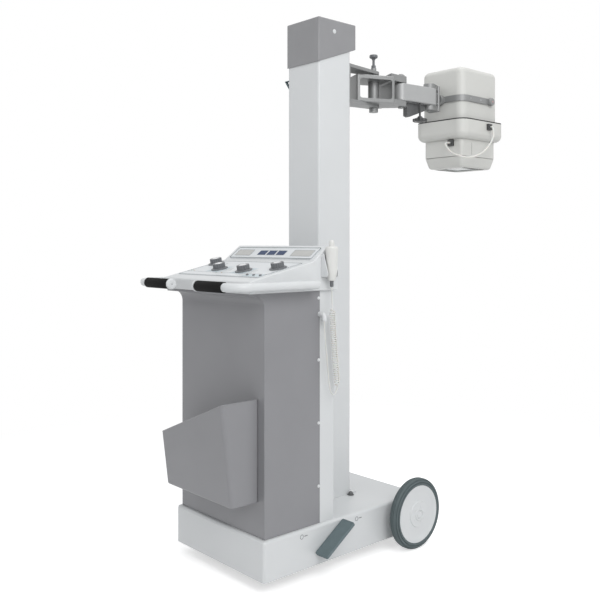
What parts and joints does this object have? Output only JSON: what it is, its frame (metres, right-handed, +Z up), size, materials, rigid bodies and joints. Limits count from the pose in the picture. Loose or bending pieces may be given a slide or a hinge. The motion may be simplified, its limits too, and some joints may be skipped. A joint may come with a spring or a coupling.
{
  "type": "mobile x-ray machine",
  "caption": "White mobile x-ray machine: wheeled base, grey cabinet with sloped console, tall column and folding arm carrying a tube head with collimator.",
  "frame": {"origin": "middle of the footprint box on the floor", "axes": "+Z up, -Y towards the operator at the console, +Y towards the tube head, +X towards the brake pedal and the hand switch"},
  "size_m": [0.638, 1.5495, 1.908],
  "materials": {
    "white_paint": "semi-gloss powder coat",
    "console_white": "fine-textured moulding",
    "grey_paint": "satin paint",
    "cap_grey": "satin moulding",
    "head_shell": "satin moulding",
    "arm_metal": "satin, as cast and painted",
    "dark_metal": "satin black-grey paint",
    "dark_knob": "moulded grip",
    "steel": "zinc plated",
    "tyre_rubber": "matt rubber",
    "pedal_green": "textured paint",
    "black_foam": "foam grip",
    "knob_grey": "moulded",
    "cream_plastic": "smooth moulding",
    "cord_white": "flexible sheath",
    "cast_iron": "raw casting",
    "glass": "clear window",
    "panel_film": "printed film on plate",
    "gasket_rubber": "seal"
  },
  "bodies": {
    "chassis": {"base_shell": "white_paint", "cross_beam": "dark_metal", "rear_axle": "steel", "front_cover": "grey_paint", "rear_cover": "white_paint", "power_unit": "cast_iron", "cassette_bin": "grey_paint", "console_housing": "console_white", "control_panel": "panel_film", "display_panel": "panel_film", "handle_left": "white_paint", "handle_right": "white_paint", "grip_left": "black_foam", "grip_right": "black_foam", "end_cap_left": "console_white", "end_cap_right": "console_white", "column": "white_paint", "column_cap": "cap_grey", "column_bracket": "white_paint", "pulley_bracket": "dark_metal", "handset_holder": "console_white", "handset_cord": "cord_white", "cord_gland": "knob_grey", "cable_hook": "pedal_green"},
    "wheel_left": {"wheel_hub_left": "white_paint", "tyre_left": "tyre_rubber"},
    "wheel_right": {"wheel_hub_right": "white_paint", "tyre_right": "tyre_rubber"},
    "fork_left": {"caster_fork_left": "steel"},
    "fork_right": {"caster_fork_right": "steel"},
    "front_wheel_left": {"caster_wheel_left": "tyre_rubber"},
    "front_wheel_right": {"caster_wheel_right": "tyre_rubber"},
    "pedal": {"brake_pedal": "pedal_green"},
    "selector_1": {"selector_knob_1": "knob_grey"},
    "selector_2": {"selector_knob_2": "knob_grey"},
    "selector_3": {"selector_knob_3": "knob_grey"},
    "selector_4": {"selector_knob_4": "knob_grey"},
    "button_1": {"push_button_1": "knob_grey"},
    "button_2": {"push_button_2": "knob_grey"},
    "button_3": {"push_button_3": "knob_grey"},
    "hand_switch": {"handset": "cream_plastic"},
    "exposure_key": {"exposure_button": "cream_plastic"},
    "rope_pulley": {"pulley": "steel"},
    "balance_weight": {"counterweight": "cast_iron"},
    "lift_carriage": {"carriage": "arm_metal"},
    "shoulder_knob": {"shoulder_clamp_knob": "dark_knob"},
    "inner_arm": {"arm_link_1": "arm_metal"},
    "outer_arm": {"arm_link_2": "arm_metal"},
    "elbow_knob": {"elbow_handwheel": "dark_knob"},
    "wrist_bracket": {"head_bracket": "arm_metal"},
    "tube_head": {"head_band": "arm_metal", "head_housing": "head_shell", "head_gasket": "gasket_rubber", "head_tray": "head_shell", "collimator_housing": "head_shell", "collimator_window": "glass", "head_cord": "cord_white"},
    "band_screw": {"band_knob": "arm_metal"},
    "field_dial_1": {"field_knob_1": "knob_grey"},
    "field_dial_2": {"field_knob_2": "knob_grey"}
  },
  "joints": [
    {"name": "wheel_left_roll", "type": "hinge", "parent": "chassis", "child": "wheel_left", "pos_m": [-0.296, 0.03625, 0.125], "axis": [1, 0, 0], "continuous": true},
    {"name": "wheel_right_roll", "type": "hinge", "parent": "chassis", "child": "wheel_right", "pos_m": [0.296, 0.03625, 0.125], "axis": [1, 0, 0], "continuous": true},
    {"name": "caster_swivel_left", "type": "hinge", "parent": "chassis", "child": "fork_left", "pos_m": [-0.155, -0.52375, 0.098], "axis": [0, 0, 1], "continuous": true},
    {"name": "caster_swivel_right", "type": "hinge", "parent": "chassis", "child": "fork_right", "pos_m": [0.155, -0.52375, 0.098], "axis": [0, 0, 1], "continuous": true},
    {"name": "caster_roll_left", "type": "hinge", "parent": "fork_left", "child": "front_wheel_left", "pos_m": [-0.155, -0.49575, 0.0375], "axis": [1, 0, 0], "continuous": true},
    {"name": "caster_roll_right", "type": "hinge", "parent": "fork_right", "child": "front_wheel_right", "pos_m": [0.155, -0.49575, 0.0375], "axis": [1, 0, 0], "continuous": true},
    {"name": "brake_rock", "type": "hinge", "parent": "chassis", "child": "pedal", "pos_m": [0.2435, -0.34075, 0.117], "axis": [1, 0, 0], "range_deg": [-66, 0]},
    {"name": "selector_turn_1", "type": "hinge", "parent": "chassis", "child": "selector_1", "pos_m": [-0.195, -0.48681, 1.02254], "axis": [0, -0.2146, 0.9767], "range_deg": [-135, 135]},
    {"name": "selector_turn_2", "type": "hinge", "parent": "chassis", "child": "selector_2", "pos_m": [-0.085, -0.55323, 1.00795], "axis": [0, -0.2146, 0.9767], "range_deg": [-135, 135]},
    {"name": "selector_turn_3", "type": "hinge", "parent": "chassis", "child": "selector_3", "pos_m": [0.065, -0.56397, 1.00559], "axis": [0, -0.2146, 0.9767], "range_deg": [-135, 135]},
    {"name": "selector_turn_4", "type": "hinge", "parent": "chassis", "child": "selector_4", "pos_m": [0.19, -0.521, 1.01503], "axis": [0, -0.2146, 0.9767], "range_deg": [-135, 135]},
    {"name": "button_press_1", "type": "slide", "parent": "chassis", "child": "button_1", "axis": [0, 0.2146, -0.9767], "range_m": [0, 0.002], "stiffness_N_per_m": 300, "springref_m": -0.002},
    {"name": "button_press_2", "type": "slide", "parent": "chassis", "child": "button_2", "axis": [0, 0.2146, -0.9767], "range_m": [0, 0.002], "stiffness_N_per_m": 300, "springref_m": -0.002},
    {"name": "button_press_3", "type": "slide", "parent": "chassis", "child": "button_3", "axis": [0, 0.2146, -0.9767], "range_m": [0, 0.002], "stiffness_N_per_m": 300, "springref_m": -0.002},
    {"name": "handset_lift", "type": "slide", "parent": "chassis", "child": "hand_switch", "axis": [0, 0, 1], "range_m": [0, 0.11]},
    {"name": "exposure_press", "type": "slide", "parent": "hand_switch", "child": "exposure_key", "axis": [0, 0, -1], "range_m": [0, 0.004], "stiffness_N_per_m": 400, "springref_m": -0.003},
    {"name": "carriage_lift", "type": "slide", "parent": "chassis", "child": "lift_carriage", "axis": [0, 0, 1], "range_m": [-1, 0.02]},
    {"name": "weight_travel", "type": "slide", "parent": "chassis", "child": "balance_weight", "axis": [0, 0, 1], "range_m": [-0.02, 1]},
    {"name": "pulley_turn", "type": "hinge", "parent": "chassis", "child": "rope_pulley", "pos_m": [0, -0.15675, 1.852], "axis": [1, 0, 0], "range_deg": [-1986, 50]},
    {"name": "shoulder_clamp", "type": "hinge", "parent": "lift_carriage", "child": "shoulder_knob", "pos_m": [0, 0.13725, 1.79], "axis": [0, 0, 1], "range_deg": [0, 720]},
    {"name": "shoulder_swivel", "type": "hinge", "parent": "lift_carriage", "child": "inner_arm", "pos_m": [0, 0.13725, 1.6445], "axis": [0, 0, 1], "range_deg": [-66, 110]},
    {"name": "elbow_swivel", "type": "hinge", "parent": "inner_arm", "child": "outer_arm", "pos_m": [0.04689, 0.24771, 1.6445], "axis": [0, 0, -1], "range_deg": [-60, 85]},
    {"name": "elbow_clamp", "type": "hinge", "parent": "outer_arm", "child": "elbow_knob", "pos_m": [0.07465, 0.3328, 1.59], "axis": [0, 0, 1], "range_deg": [-720, 0]},
    {"name": "wrist_swivel", "type": "hinge", "parent": "outer_arm", "child": "wrist_bracket", "pos_m": [0.05976, 0.4112, 1.6445], "axis": [0, 0, 1], "range_deg": [-80, 80]},
    {"name": "head_roll", "type": "hinge", "parent": "wrist_bracket", "child": "tube_head", "pos_m": [0.054, 0.47175, 1.7], "axis": [0, 1, 0], "range_deg": [-90, 90]},
    {"name": "band_screw_turn", "type": "hinge", "parent": "tube_head", "child": "band_screw", "pos_m": [0.1703, 0.68425, 1.7], "axis": [1, 0, 0], "range_deg": [0, 360]},
    {"name": "field_turn_1", "type": "hinge", "parent": "tube_head", "child": "field_dial_1", "pos_m": [0.009, 0.74405, 1.5021], "axis": [0, 1, 0], "range_deg": [-150, 150]},
    {"name": "field_turn_2", "type": "hinge", "parent": "tube_head", "child": "field_dial_2", "pos_m": [0.099, 0.74405, 1.5021], "axis": [0, 1, 0], "range_deg": [-150, 150]}
  ],
  "couplings": [
    {"joint": "weight_travel", "follows": "carriage_lift", "ratio": -1},
    {"joint": "pulley_turn", "follows": "carriage_lift", "rad_per_m": 33.333}
  ]
}
